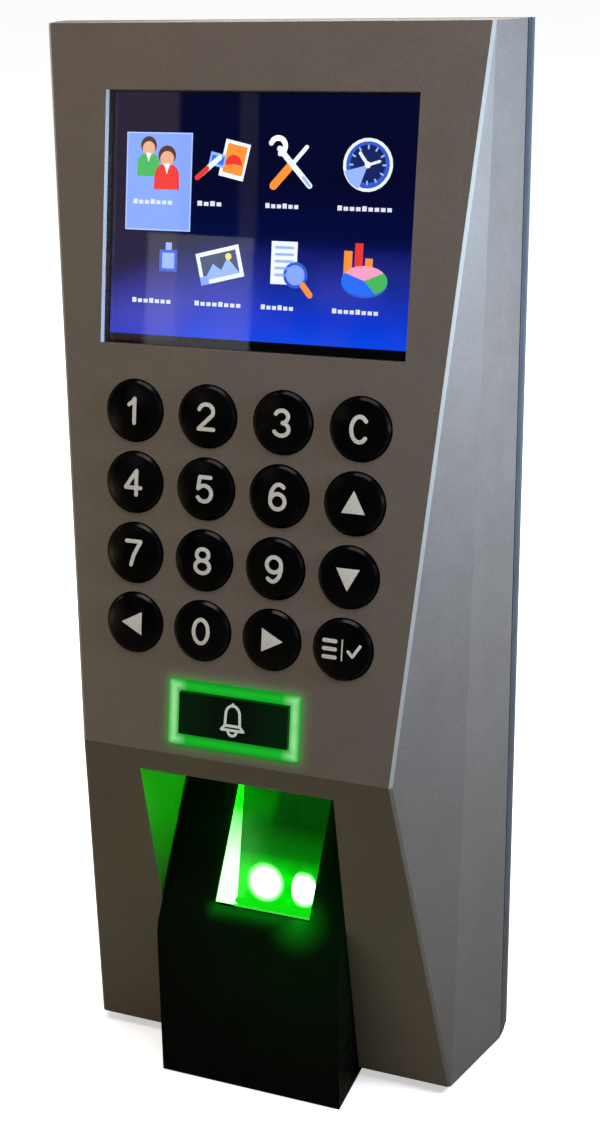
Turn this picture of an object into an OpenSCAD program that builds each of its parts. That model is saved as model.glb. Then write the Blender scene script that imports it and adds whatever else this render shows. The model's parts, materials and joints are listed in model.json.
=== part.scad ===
// Wall-mounted fingerprint terminal with a screen, a keypad and a finger recess.
// +X is the viewer's right, -Y points out of the wall and +Z is up.
// The origin is the centre of the wall plate's screw pattern, on the wall's surface.
// A depth (d) is a distance out of the wall. A height (h or z_up) is measured up from
// the casing's bottom edge. A fall (s) is a distance down the sloping upper face.

/* [Body] */
// Height of the casing
body_h = 183; // [175:1:225]
// Width of the casing at its rear edge
body_w = 80; // [78:1:100]
// Depth of the upper face at its top edge
top_d = 13.5; // [12.5:0.5:18]
// Height of the crease
crease_h = 65.7; // [62:0.1:80]
// Depth of the crease
crease_d = 34.8; // [33:0.1:42]
// Depth of the lower face at its bottom edge
bottom_d = 22.5; // [21:0.5:28]
// How far the face's top edge stands in from the rear edge, each side
side_in_top = 2.8; // [1:0.1:5]
// The same at the crease
side_in_crease = 12; // [8:0.1:13]
// The same at the bottom edge
side_in_bottom = 4.85; // [2:0.05:8]
// Wall thickness of the casing
wall = 2; // [1.6:0.1:2.4]
// Chamfer along the casing's front edges
edge_chamfer = 0.4; // [0.2:0.1:1.2]

/* [Rear cover and wall plate] */
// Thickness of the wall plate
plate_t = 2; // [1.5:0.1:3]
// Thickness of the rear cover's floor
floor_t = 2; // [1.5:0.1:3]
// Thickness of the gasket between rear cover and casing
gasket_t = 0.5; // [0.3:0.1:1]
// Height of the rear cover's rim above its floor
rim_h = 0.5; // [0.3:0.1:1.5]
// Spacing of the wall screws across
screw_px = 50; // [40:1:56]
// Spacing of the wall screws up
screw_pz = 120; // [100:1:130]
// Radius of the wall screw holes
screw_hole_r = 2.25; // [1.8:0.05:2.75]
// Width of the cable window
window_w = 40; // [30:1:44]
// Height of the cable window
window_h = 24; // [18:1:26]

/* [Screen] */
// Width of the screen opening
screen_w = 52.8; // [50:0.1:56]
// Height of the screen opening
screen_h = 40.4; // [38:0.1:44]
// Fall from the top edge to the opening
screen_s = 10.2; // [9:0.1:12]
// How far the screen window is set back
screen_recess = 1.2; // [0.8:0.1:1.3]

/* [Keypad] */
// Radius of a key
key_r = 5; // [4.1:0.05:5.4]
// Spacing of the key columns
key_px = 12.8; // [12.6:0.1:13.4]
// Spacing of the key rows
key_ps = 11.9; // [11.9:0.1:12.4]
// Rise from the crease to the last row
key_rise_from_crease = 22.1; // [22:0.1:24]
// How much narrower each row is than the one above, as a share
key_fan = 0.019; // [0:0.001:0.025]
// How far a key stands above the face
key_proud = 0.8; // [0.3:0.1:1.5]
// How far a key travels
key_travel = 0.8; // [0.4:0.1:1]
// Width of the bell button's light ring
ring_w = 24; // [20:0.1:28]
// Height of the light ring
ring_h = 11.6; // [10:0.1:13]
// Radius of the light ring's corners
ring_corner = 1; // [0.4:0.1:1.6]
// Width of the band of light
ring_band = 1.9; // [1.2:0.1:2.5]
// Rise from the crease to the ring's centre
ring_rise_from_crease = 7.6; // [7.2:0.1:8]

/* [Fingerprint reader] */
// Width of the sensor block
block_w = 35; // [30:0.5:38]
// Depth of the block's front face at its upper edge
block_d = 31.9; // [31:0.1:35]
// Height of the block's front face
block_h = 28.3; // [24:0.1:32]
// How far the block's foot leans out
block_lean = 0.7; // [0:0.1:2]
// How far the block hangs below the casing
block_drop = 2; // [0:0.5:4]
// Angle of the finger slope from upright
slope_angle = 34.5; // [30:0.5:36]
// Height of the recess's ceiling
recess_h = 61.5; // [58:0.1:62]
// Width of the sensor's glass
glass_w = 18.2; // [14:0.1:20]
// Length of the sensor's glass
glass_l = 23.5; // [20:0.1:26]
// How far the glass sits right of centre
glass_x = 1.7; // [0:0.1:5]

/* [Hidden] */
fit = 0.1;            // gap round a piece that is seated
run = 0.05;           // radial gap of a running fit
slip = 0.25;          // gap round a piece that moves or is dropped in
eps = 0.01;
$fn = 48;

z_bot = -body_h / 2;
z_top = body_h / 2;
z_crease = z_bot + crease_h;
floor_d = plate_t + floor_t;
band_d = floor_d + rim_h + gasket_t;
tilt = atan((crease_d - top_d) / (body_h - crease_h));
face_l = norm([crease_d - top_d, body_h - crease_h]);

function mix(a, b, t) = a + (b - a) * t;
function up_share(z) = (z - z_crease) / (z_top - z_crease);
function low_share(z) = (z - z_bot) / crease_h;
function depth_at(z) = z > z_crease ? mix(crease_d, top_d, up_share(z))
                                    : mix(bottom_d, crease_d, low_share(z));
function side_in_at(z) = z > z_crease ? mix(side_in_crease, side_in_top, up_share(z))
                                      : mix(side_in_bottom, side_in_crease, low_share(z));
// Half width of the upper face, at a fall s
function face_half(s) = body_w / 2 - mix(side_in_top, side_in_crease, s / face_l);
// Height above the frame's zero of a point under the upper face
function face_z(s, n) = z_top - s * cos(tilt) + n * sin(tilt);
// Depth of a point under the upper face
function face_d(s, n) = top_d + s * sin(tilt) + n * cos(tilt);

// Layers under the upper face, as heights along its normal
glass_t = 1;
window_n = -screen_recess;
lcd_n = min(window_n - glass_t, -wall) - fit;
lcd_t = 2.4;
lcd_w = 60;
lcd_l = 43.6;
lcd_lip = 0.4;
screen_mid = screen_s + screen_h / 2;
board_n = -8;
board_t = 1.6;
ring_s = face_l - ring_rise_from_crease;
function key_fall(row) = face_l - key_rise_from_crease - (3 - row) * key_ps;
board_s0 = 12;
board_s1 = ring_s + 4.6;
board_side = 1.6;
mat_t = 0.8;
dome_h = key_travel + 0.4;
mat_s0 = key_fall(0) - 6;
mat_s1 = ring_s + 4.4;
mat_side = 24.6;
flange_n = -wall - slip;
flange_t = 0.8;
flange_r = key_r + 0.5;
hub_r = 3;
hub_n = board_n + mat_t + dome_h;
bell_w = ring_w - 2 * ring_band - 2 * slip;
bell_h = ring_h - 2 * ring_band - 2 * slip;
ring_foot_n = board_n + 1.2;
post_r = 1.9;
post_s = [key_fall(0) - 5, ring_s - 8.6];
post_x = [for (s = post_s) face_half(s) - 1.75];

// Name, column and row of each key
KEYS = [
    ["key_1", 0, 0], ["key_2", 1, 0], ["key_3", 2, 0], ["key_clear", 3, 0],
    ["key_4", 0, 1], ["key_5", 1, 1], ["key_6", 2, 1], ["key_up", 3, 1],
    ["key_7", 0, 2], ["key_8", 1, 2], ["key_9", 2, 2], ["key_down", 3, 2],
    ["key_left", 0, 3], ["key_0", 1, 3], ["key_right", 2, 3], ["key_menu", 3, 3],
];
function key_x(col, row) = (col - 1.5) * key_px * (1 - key_fan * (row - 1.5));

// Sensor block: depths and heights in its side outline
back_d = 8;
front_d = block_d + block_lean;
slope_top = recess_h - 0.3;
slope_l = (slope_top - block_h) / cos(slope_angle);
slot_w = block_w + 2 * slip;
rib_t = 1.4;
block_t = 2;
glass_u = 17.8;
glass_sink = 0.2;
prism_t = 10;
prism_w = glass_w - 0.6;
// A point on the finger slope, u up along it and t under it, as [depth, height]
function slope_at(u, t) = [block_d - u * sin(slope_angle) - t * cos(slope_angle),
                           block_h + u * cos(slope_angle) - t * sin(slope_angle)];
cover_w = 49;
cover_h = [7, 58];
cover_t = 1.5;
cover_screw_x = slot_w / 2 + rib_t + 1.6;
cover_screw_h = [20, 52];
imager_h = [8, 49];
imager_w = 26;
imager_t = 1.6;
imager_d = back_d + 0.9;
lens_h = 22;
lens_r = 4.5;
lens_l = 6;

// Ribbons: a path's right-hand side, t away, and a list turned round
ribbon_t = 0.3;
function turned(v) = [v[1], -v[0]] / norm(v);
function beside(path, t) = [for (i = [0:len(path) - 1])
    path[i] + t * turned(path[min(i + 1, len(path) - 1)] - path[max(i - 1, 0)])];
function backwards(list) = [for (i = [len(list) - 1:-1:0]) list[i]];

// Fasteners
tap_r = 1.2;
head_r = 2.6;
head_t = 1.6;
case_screw_x = body_w / 2 - 9;
pillar_r = 3;
case_screw_h = [22, body_h - wall - pillar_r - 0.3];
case_boss_r = 2.6;
case_boss_d = band_d + 0.2;
lock_x = 28.5;
lock_d = 9.5;
lock_boss_h = 3.6;
tab_h = 4.5;
tab_t = 1.6;
tab_w = 9;
tab_d = 12.6;

// Parts on the main board's back
power_s = ring_s - 31.6;
cell_s = ring_s - 41.6;
cell_x = -20;
cell_r = 8;

// Sockets, speaker and switch
usb_x = 26.6;
usb_d = 16.6;
usb_w = 13.1;
usb_t = 5.7;
usb_l = 14;
speaker_x = -28.5;
speaker_d = 12.5;
speaker_r = 6.5;
speaker_t = 3.8;
window_z = z_bot + 82;
hook_x = 20;
hook_w = 9;
hook_h = 164;
hook_t = 1.2;
hook_lip = 3;
tamper_x = -28;
tamper_r = 1.2;
tamper_w = 6;
tamper_travel = 1.5;
// How far the switch's plunger reaches past the rear cover's floor
tamper_reach = tamper_travel + 3.1;

// Depth of the main board's back at a height z
function board_back_s(z) = (z_top - z + (board_n - board_t) * sin(tilt)) / cos(tilt);
function board_back_d(z) = face_d(board_back_s(z), board_n - board_t);
// The switch stands where the board leaves room behind its plunger at full travel
tamper_s = (floor_d + tamper_reach + tamper_travel + 2 - face_d(0, board_n - board_t)) / sin(tilt);
tamper_z = face_z(tamper_s, board_n - board_t);

// ---------- placing ----------

// On the upper face: x across, s down from the top edge, n out of the face
module on_face(x, s, n = 0) {
    translate([0, -top_d, z_top]) rotate([90 - tilt, 0, 0]) translate([x, -s, n]) children();
}

// On the finger slope: x across, u up along it, n out of it
module on_slope(x, u, n = 0) {
    translate([0, -block_d, z_bot + block_h]) rotate([90 - slope_angle, 0, 0])
        translate([x, u, n]) children();
}

// Out of the wall: children's +Z points out of the wall, from depth d, at height h
module off_wall(x, h, d = 0) {
    translate([x, -d, z_bot + h]) rotate([90, 0, 0]) children();
}

// A side outline of [depth, height] points, w wide about x
module side_cut(points, w, x = 0) {
    translate([x, 0, z_bot]) rotate([90, 0, 90]) linear_extrude(w, center = true)
        polygon([for (p = points) [-p[0], p[1]]]);
}

// A box given by its middle across, its size and its lower corner in depth and height
module wall_box(x, w, d, h) {
    translate([x - w / 2, -d[1], z_bot + h[0]]) cube([w, d[1] - d[0], h[1] - h[0]]);
}

// A flat box centred at the origin, standing on its base
module slab(w, l, t) {
    translate([-w / 2, -l / 2, 0]) cube([w, l, t]);
}
// The same with corners of radius r
module round_slab(w, l, t, r) {
    slab(w - 2 * r, l, t);
    slab(w, l - 2 * r, t);
    for (x = [-1, 1], y = [-1, 1]) translate([x * (w / 2 - r), y * (l / 2 - r), 0]) cylinder(r = r, h = t);
}

// A screw whose head stands on z = 0 and whose shank goes down
module screw(length) {
    difference() {
        union() {
            cylinder(r = head_r, h = head_t);
            translate([0, 0, -length]) cylinder(r = tap_r, h = length + eps);
        }
        for (a = [0, 90]) rotate([0, 0, a]) translate([0, 0, head_t - 0.8])
            slab(3, 0.7, 1);
    }
}

// ---------- casing ----------

// Outline of the casing at a height, shrunk by inset, from depth rear to the face
module casing_slice(z, inset, rear) {
    slope = side_in_at(z) / (depth_at(z) - band_d);
    skin = inset * sqrt(1 + slope * slope);
    d = depth_at(z) - inset / cos(tilt);
    x_rear = body_w / 2 - slope * (rear - band_d) - skin;
    x_front = body_w / 2 - slope * (d - band_d) - skin;
    c = inset == 0 ? edge_chamfer : 0.05;
    half = [[x_rear, -rear], [x_front + slope * c, c - d], [x_front - c, -d]];
    linear_extrude(eps) polygon(concat(half, [for (i = [2:-1:0]) [-half[i][0], half[i][1]]]));
}

// The casing's outer or inner form
module casing_form(inset, rear) {
    hull() {
        translate([0, 0, z_bot + inset]) casing_slice(z_bot + inset, inset, rear);
        translate([0, 0, z_crease - eps / 2]) casing_slice(z_crease, inset, rear);
        translate([0, 0, z_top - inset - eps]) casing_slice(z_top - inset, inset, rear);
    }
}

module finger_slot(extra) {
    wall_box(0, slot_w + 2 * extra, [back_d, crease_d + 5], [-5, recess_h + extra]);
}

module casing_posts() {
    for (x = [-1, 1], h = case_screw_h)
        off_wall(x * case_screw_x, h, case_boss_d) cylinder(r = case_boss_r, h = crease_d);
    for (x = [-1, 1], i = [0, 1])
        on_face(x * post_x[i], post_s[i], board_n) cylinder(r = post_r, h = -board_n);
    for (x = [-1, 1], h = cover_screw_h)
        off_wall(x * cover_screw_x, h, back_d) cylinder(r = 2, h = 10);
    translate([lock_x, -lock_d, z_bot]) cylinder(r = 3.6, h = lock_boss_h);
}

module casing_holes() {
    for (x = [-1, 1], h = case_screw_h)
        off_wall(x * case_screw_x, h, case_boss_d - eps) cylinder(r = tap_r + run, h = 5);
    for (x = [-1, 1], i = [0, 1])
        on_face(x * post_x[i], post_s[i], board_n - eps) cylinder(r = tap_r + run, h = 5);
    for (x = [-1, 1], h = cover_screw_h)
        off_wall(x * cover_screw_x, h, back_d - eps) cylinder(r = tap_r + run, h = 6);
    translate([lock_x, -lock_d, z_bot - eps]) {
        cylinder(r = tap_r + 2 * fit, h = lock_boss_h + 1);
        cylinder(r = head_r + 2 * fit, h = head_t + 0.2 + eps);
    }
    translate([usb_x - usb_w / 2 - fit, -usb_d - usb_t / 2 - fit, z_bot - 1])
        cube([usb_w + 2 * fit, usb_t + 2 * fit, wall + 2]);
    translate([speaker_x, -speaker_d, z_bot - 1]) {
        cylinder(r = 0.8, h = wall + 2);
        for (a = [0:60:300]) rotate([0, 0, a]) translate([2.6, 0, 0]) cylinder(r = 0.8, h = wall + 2);
        for (a = [15:30:345]) rotate([0, 0, a]) translate([4.8, 0, 0]) cylinder(r = 0.8, h = wall + 2);
    }
}

module face_cuts() {
    on_face(0, screen_mid, -wall - 1) slab(screen_w, screen_h, wall + 2);
    on_face(0, screen_mid, -wall - 1) slab(screen_w + 4, screen_h + 3.6, wall + 1 - screen_recess);
    for (k = KEYS)
        on_face(key_x(k[1], k[2]), key_fall(k[2]), -wall - 1) cylinder(r = key_r + slip, h = wall + 2);
    on_face(0, ring_s, -wall - 1) round_slab(ring_w, ring_h, wall + 2, ring_corner);
}

module front_casing() {
    color([0.36, 0.33, 0.31]) difference() {
        union() {
            difference() {
                casing_form(0, band_d);
                casing_form(wall, band_d - 1);
            }
            intersection() {
                casing_form(0, band_d);
                union() {
                    finger_slot(rib_t);
                    casing_posts();
                }
            }
        }
        finger_slot(0);
        casing_holes();
        face_cuts();
    }
}

// ---------- rear cover, gasket and wall plate ----------

module cable_window(w_extra, d0, d1) {
    translate([0, 0, window_z]) translate([-window_w / 2 - w_extra, -d1, -window_h / 2 - w_extra])
        cube([window_w + 2 * w_extra, d1 - d0, window_h + 2 * w_extra]);
}

module rear_cover() {
    rim_w = 2.4;
    rib_x = body_w / 2 - 4;
    color([0.13, 0.14, 0.15]) difference() {
        union() {
            difference() {
                wall_box(0, body_w, [plate_t, floor_d + rim_h], [0, body_h]);
                wall_box(0, body_w - 2 * rim_w, [floor_d, band_d], [rim_w, body_h - rim_w]);
            }
            for (x = [-1, 1]) wall_box(x * rib_x, 1.2, [floor_d - eps, floor_d + 3], [30, body_h - 23]);
            for (x = [-1, 1], h = case_screw_h)
                off_wall(x * case_screw_x, h, plate_t) cylinder(r = pillar_r, h = case_boss_d - plate_t);
        }
        for (x = [-1, 1], h = case_screw_h) {
            off_wall(x * case_screw_x, h, 0) cylinder(r = tap_r + 2 * fit, h = band_d + 1);
            off_wall(x * case_screw_x, h, 0) cylinder(r = head_r + 2 * fit, h = plate_t + head_t + 0.2);
        }
        for (x = [-1, 1], z = [-1, 1])
            translate([x * screw_px / 2, 0, z * screw_pz / 2]) rotate([90, 0, 0])
                cylinder(r = 2 * screw_hole_r, h = plate_t + 1.2);
        cable_window(0, 0, band_d);
        for (x = [-1, 1]) wall_box(x * hook_x, hook_w + 1, [0, band_d], [hook_h - 4, hook_h + hook_t + fit]);
        wall_box(lock_x, tab_w + 1, [0, band_d], [tab_h - 0.5, tab_h + tab_t + 0.5]);
        translate([tamper_x, 0, tamper_z]) rotate([90, 0, 0]) cylinder(r = tamper_r + slip, h = band_d);
    }
}

module gasket() {
    inset = 0.5;
    width = 1.2;
    color([0.05, 0.05, 0.05]) difference() {
        wall_box(0, body_w - 2 * inset, [floor_d + rim_h, band_d], [inset, body_h - inset]);
        wall_box(0, body_w - 2 * inset - 2 * width, [0, band_d + 1],
                 [inset + width, body_h - inset - width]);
    }
}

module wall_plate() {
    edge = 0.1;
    lip_d = floor_d + 0.1;
    color([0.55, 0.58, 0.62]) difference() {
        union() {
            wall_box(0, body_w - 2 * edge, [0, plate_t], [edge, body_h - edge]);
            for (x = [-1, 1]) {
                wall_box(x * hook_x, hook_w, [plate_t - eps, lip_d + hook_t], [hook_h, hook_h + hook_t]);
                wall_box(x * hook_x, hook_w, [lip_d, lip_d + hook_t], [hook_h, hook_h + hook_t + hook_lip]);
            }
            wall_box(lock_x, tab_w, [plate_t - eps, tab_d], [tab_h, tab_h + tab_t]);
        }
        for (x = [-1, 1], z = [-1, 1])
            translate([x * screw_px / 2, 1, z * screw_pz / 2]) rotate([90, 0, 0])
                cylinder(r = screw_hole_r, h = plate_t + 2);
        cable_window(0, -1, plate_t + 1);
        translate([tamper_x, 1, tamper_z]) rotate([90, 0, 0]) cylinder(r = 2 * tamper_r, h = plate_t + 2);
        translate([lock_x, -lock_d, z_bot + tab_h - 1]) cylinder(r = tap_r + run, h = tab_t + 2);
    }
}

// ---------- screen ----------

module screen_window() {
    color([0.2, 0.25, 0.3]) on_face(0, screen_mid, window_n - glass_t)
        slab(screen_w + 4 - 2 * fit, screen_h + 3.6 - 2 * fit, glass_t);
}

module lcd_frame() {
    skin = 0.5;
    color([0.75, 0.75, 0.76]) on_face(0, screen_mid, lcd_n - lcd_t) difference() {
        slab(lcd_w, lcd_l, lcd_t);
        translate([0, 0, -1]) slab(lcd_w - 2 * skin, lcd_l - 2 * skin, lcd_t + 1 - lcd_lip);
        slab(screen_w, screen_h, lcd_t + 1);
    }
}

module lcd_layer(n, t) {
    on_face(0, screen_mid, n - t) slab(lcd_w - 1.2, lcd_l - 1.2, t);
}

module lcd_panel() {
    color([0.05, 0.15, 0.75]) lcd_layer(lcd_n - lcd_lip, 1);
}

module lcd_backlight() {
    color("white") lcd_layer(lcd_n - lcd_lip - 1, 0.9);
}

// The ribbon leaves the frame's lower edge, turns under and lies on the board
module lcd_ribbon() {
    s0 = screen_mid + lcd_l / 2;
    n0 = lcd_n - lcd_t + 1;
    path = [[s0 + 2 * fit, n0], [s0 + 0.9, n0 - 0.2], [s0 + 1.3, n0 - 1], [s0 + 1.3, board_n + 0.8],
            [s0 + 0.9, board_n + 0.2], [s0, board_n + run], [s0 - 12, board_n + run]];
    color([0.75, 0.45, 0.1]) on_face(0, 0) rotate([90, 0, 90]) linear_extrude(16, center = true)
        polygon([for (p = concat(path, backwards(beside(path, ribbon_t)))) [-p[0], p[1]]]);
}

// ---------- keypad ----------

module keypad_mat() {
    color([0.35, 0.36, 0.38]) difference() {
        union() {
            on_face(0, (mat_s0 + mat_s1) / 2, board_n)
                slab(2 * mat_side, mat_s1 - mat_s0, mat_t);
            for (k = KEYS) on_face(key_x(k[1], k[2]), key_fall(k[2]), board_n + mat_t - eps)
                rotate_extrude() polygon([[0, 0], [4, 0], [hub_r, dome_h + eps], [0, dome_h + eps]]);
            on_face(0, ring_s, board_n + mat_t - eps)
                rotate_extrude() polygon([[0, 0], [3.2, 0], [2.4, dome_h + eps], [0, dome_h + eps]]);
        }
        for (x = [-1, 1], y = [-1, 1])
            on_face(x * (ring_w - ring_band) / 2, ring_s + y * (ring_h - ring_band) / 2, board_n - 1)
                slab(3.4, 3, 4);
    }
}

// A round key: a domed cap, a flange under the casing and a hub on its dome
module key_cap(name) {
    i = search([name], KEYS)[0];
    edge = 0.4;
    crown = 0.25;
    crown_r = (key_r - edge) * (key_r - edge) / (2 * crown) + crown / 2;
    crown_a = asin((key_r - edge) / crown_r);
    arc = [for (k = [6:-1:0]) let (a = crown_a * k / 6)
        [crown_r * sin(a), key_proud - crown_r + crown_r * cos(a)]];
    foot = flange_n - flange_t;
    color([0.02, 0.02, 0.02]) on_face(key_x(KEYS[i][1], KEYS[i][2]), key_fall(KEYS[i][2]))
        rotate_extrude() polygon(concat(
            [[0, hub_n], [hub_r, hub_n], [hub_r, foot], [flange_r, foot], [flange_r, flange_n],
             [key_r, flange_n], [key_r, key_proud - crown - edge]], arc));
}

module bell_button() {
    foot = flange_n - flange_t;
    color([0.02, 0.03, 0.02]) {
        on_face(0, ring_s, foot) slab(bell_w, bell_h, -foot + key_proud - 0.3);
        on_face(0, ring_s, hub_n) slab(8, 5, foot - hub_n + eps);
    }
}

module light_ring() {
    color([0.1, 0.9, 0.2]) on_face(0, ring_s, 0) difference() {
        translate([0, 0, ring_foot_n]) round_slab(ring_w - 2 * fit, ring_h - 2 * fit, 0.2 - ring_foot_n, ring_corner - fit);
        translate([0, 0, ring_foot_n - 1])
            slab(ring_w - 2 * ring_band, ring_h - 2 * ring_band, 2 - ring_foot_n);
    }
}

module ring_lamps() {
    color([0.8, 1, 0.8]) for (x = [-1, 1], y = [-1, 1])
        on_face(x * (ring_w - ring_band) / 2, ring_s + y * (ring_h - ring_band) / 2, board_n)
            slab(1.6, 1.2, 0.9);
}

// ---------- main board ----------

module board_outline(half0, half1, n, t) {
    on_face(0, 0, n) linear_extrude(t)
        polygon([[-half0, -board_s0], [half0, -board_s0], [half1, -board_s1], [-half1, -board_s1]]);
}

module main_board() {
    color([0.05, 0.3, 0.12]) difference() {
        board_outline(face_half(board_s0) - board_side, face_half(board_s1) - board_side / 2,
                      board_n - board_t, board_t);
        for (x = [-1, 1], i = [0, 1])
            on_face(x * post_x[i], post_s[i], board_n - 3) cylinder(r = tap_r + 2 * fit, h = 4);
    }
}

// A block on the back of the main board, w across, l down the slope and t thick
module on_board_back(x, s, w, l, t) {
    on_face(x, s, board_n - board_t - t) slab(w, l, t);
}

module board_chips() {
    color([0.03, 0.03, 0.04]) {
        on_board_back(0, 36, 16, 16, 1.4);
        on_board_back(17, 36, 10, 14, 1.2);
        on_board_back(-14, 52, 8, 8, 1.2);
        on_board_back(10, 54, 6, 8, 1.2);
    }
}

module capacitors() {
    color([0.1, 0.12, 0.3]) for (x = [-6, 4]) on_face(x, power_s, board_n - board_t - 9)
        cylinder(r = 4, h = 9);
}

module door_relay() {
    color([0.1, 0.3, 0.6]) on_board_back(18, power_s, 15, 18, 12);
}

module cell_holder() {
    color([0.9, 0.9, 0.88]) difference() {
        on_board_back(cell_x, cell_s, 2 * cell_r + 3, 2 * cell_r + 3, 4);
        on_face(cell_x, cell_s, board_n - board_t - 5) cylinder(r = cell_r + fit, h = 4);
    }
}

module backup_cell() {
    color([0.8, 0.8, 0.82]) on_face(cell_x, cell_s, board_n - board_t - 4)
        cylinder(r = cell_r, h = 3);
}

module wiring_headers() {
    s = (z_top - window_z) / cos(tilt);
    color([0.92, 0.92, 0.88]) for (x = [-19.2, -9.9, 9.9, 19.2]) difference() {
        on_board_back(x, s, 8, 6, 7);
        on_board_back(x, s, 6.4, 4.4, 8.5);
    }
}

// ---------- sockets, speaker and switch ----------

module usb_socket() {
    skin = 0.4;
    color([0.78, 0.78, 0.8]) translate([usb_x - usb_w / 2, -usb_d - usb_t / 2, z_bot + 0.3]) {
        difference() {
            cube([usb_w, usb_t, usb_l]);
            translate([skin, skin, -1]) cube([usb_w - 2 * skin, usb_t - 2 * skin, usb_l]);
        }
        translate([1, usb_t / 2 + 0.2, 1]) cube([usb_w - 2, 1.8, usb_l - 1.5]);
    }
}

module speaker() {
    color([0.15, 0.15, 0.15]) translate([speaker_x, -speaker_d, z_bot + wall]) difference() {
        cylinder(r = speaker_r, h = speaker_t);
        translate([0, 0, -1]) cylinder(r = speaker_r - 1, h = 1.6);
    }
}

module tamper_switch() {
    body_d = floor_d + 1.6;
    color([0.1, 0.1, 0.1]) difference() {
        translate([tamper_x - tamper_w / 2, -board_back_d(tamper_z) - 1, tamper_z - tamper_w / 2])
            cube([tamper_w, board_back_d(tamper_z) + 1 - body_d, tamper_w]);
        on_face(0, board_back_s(tamper_z), board_n - board_t) slab(body_w, 40, 10);
        translate([tamper_x, -body_d + 1, tamper_z]) rotate([90, 0, 0])
            cylinder(r = tamper_r + run, h = 1 + 5);
    }
}

module tamper_plunger() {
    color([0.85, 0.85, 0.85]) translate([tamper_x, 0, tamper_z]) rotate([90, 0, 0])
        cylinder(r = tamper_r, h = floor_d + tamper_reach);
}

// ---------- fingerprint reader ----------

module sensor_housing() {
    nose = 1.4;
    outline = [[back_d, -block_drop], [front_d, -block_drop],
               [block_d, block_h - nose], slope_at(nose, 0),
               slope_at(slope_l, 0), [back_d, slope_top]];
    hollow = [[back_d - 1, block_t - block_drop], [front_d - block_t, block_t - block_drop],
              [block_d - block_t, block_h - nose], slope_at(nose, block_t),
              slope_at(slope_l - block_t, block_t), [back_d - 1, slope_top - block_t]];
    color([0.02, 0.03, 0.02]) difference() {
        side_cut(outline, block_w);
        side_cut(hollow, block_w - 2 * block_t);
        on_slope(glass_x, glass_u, -block_t - 1) slab(glass_w, glass_l, block_t + 2);
    }
}

module sensor_glass() {
    color([0.1, 0.8, 0.3, 0.6]) on_slope(glass_x, glass_u, -block_t)
        slab(glass_w - 2 * fit, glass_l - 2 * fit, block_t - glass_sink);
}

module sensor_prism() {
    u0 = glass_u - glass_l / 2 + 1.2;
    u1 = glass_u + glass_l / 2 - 1.2;
    color([0.3, 0.9, 0.5]) side_cut([slope_at(u0, block_t + eps), slope_at(u0, block_t + prism_t),
        slope_at(u1, block_t + 0.4), slope_at(u1, block_t + eps)], prism_w, glass_x);
}

module sensor_lamps() {
    strip_x = glass_x - prism_w / 2 - 2.3;
    color([0.7, 1, 0.7]) {
        on_slope(strip_x, glass_u - 5, -block_t - 6) slab(0.8, 12, 4);
        for (k = [-1, 0, 1]) on_slope(strip_x + 1.2, glass_u - 5 + 4 * k, -block_t - 5)
            slab(1.6 + eps, 1.8, 1.8);
    }
}

module sensor_board() {
    color([0.05, 0.3, 0.12]) wall_box(0, imager_w, [imager_d, imager_d + imager_t], imager_h);
}

module sensor_lens() {
    color([0.04, 0.04, 0.04]) off_wall(glass_x, lens_h, imager_d + imager_t) difference() {
        cylinder(r = lens_r, h = lens_l);
        translate([0, 0, 2]) cylinder(r = lens_r - 1.5, h = lens_l);
    }
}

module sensor_cover() {
    color([0.1, 0.1, 0.1]) difference() {
        union() {
            wall_box(0, cover_w, [back_d - cover_t, back_d], cover_h);
            for (x = [-1, 1], h = [imager_h[0] + 3, imager_h[1] - 3])
                off_wall(x * (imager_w / 2 - 3), h, back_d - eps) cylinder(r = 1.6, h = imager_d - back_d + eps);
        }
        for (x = [-1, 1], h = cover_screw_h)
            off_wall(x * cover_screw_x, h, 0) cylinder(r = tap_r + 2 * fit, h = back_d + 1);
        wall_box(0, 10, [0, back_d + 1], [imager_h[1] - 5, imager_h[1] + 3]);
    }
}

// The ribbon leaves the imager's back through the cover and runs up to the main board
module sensor_ribbon() {
    start_h = imager_h[1] - 3;
    behind_d = imager_d - 2.7;
    end_h = recess_h + 15;
    path = [[imager_d - slip, start_h], [imager_d - 1.6, start_h + 0.8], [behind_d, start_h + 3.5],
            [behind_d, recess_h + 1.6], [behind_d + 2, recess_h + 3.9],
            [board_back_d(z_bot + end_h) - 2 * ribbon_t, end_h - 1]];
    color([0.75, 0.45, 0.1]) side_cut(concat(path, backwards(beside(path, ribbon_t))), 8);
}

// ---------- fasteners ----------

module case_screws() {
    color([0.6, 0.6, 0.62]) for (x = [-1, 1], h = case_screw_h)
        off_wall(x * case_screw_x, h, plate_t + head_t + 0.2) mirror([0, 0, 1]) screw(5.5);
}

module board_screws() {
    color([0.6, 0.6, 0.62]) for (x = [-1, 1], i = [0, 1])
        on_face(x * post_x[i], post_s[i], board_n - board_t) mirror([0, 0, 1]) screw(6);
}

module sensor_screws() {
    color([0.6, 0.6, 0.62]) for (x = [-1, 1], h = cover_screw_h)
        off_wall(x * cover_screw_x, h, back_d - cover_t) mirror([0, 0, 1]) screw(6);
}

module lock_screw() {
    color([0.6, 0.6, 0.62]) translate([lock_x, -lock_d, z_bot + head_t + 0.2]) mirror([0, 0, 1])
        screw(7);
}

// ---------- drawing ----------

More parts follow.
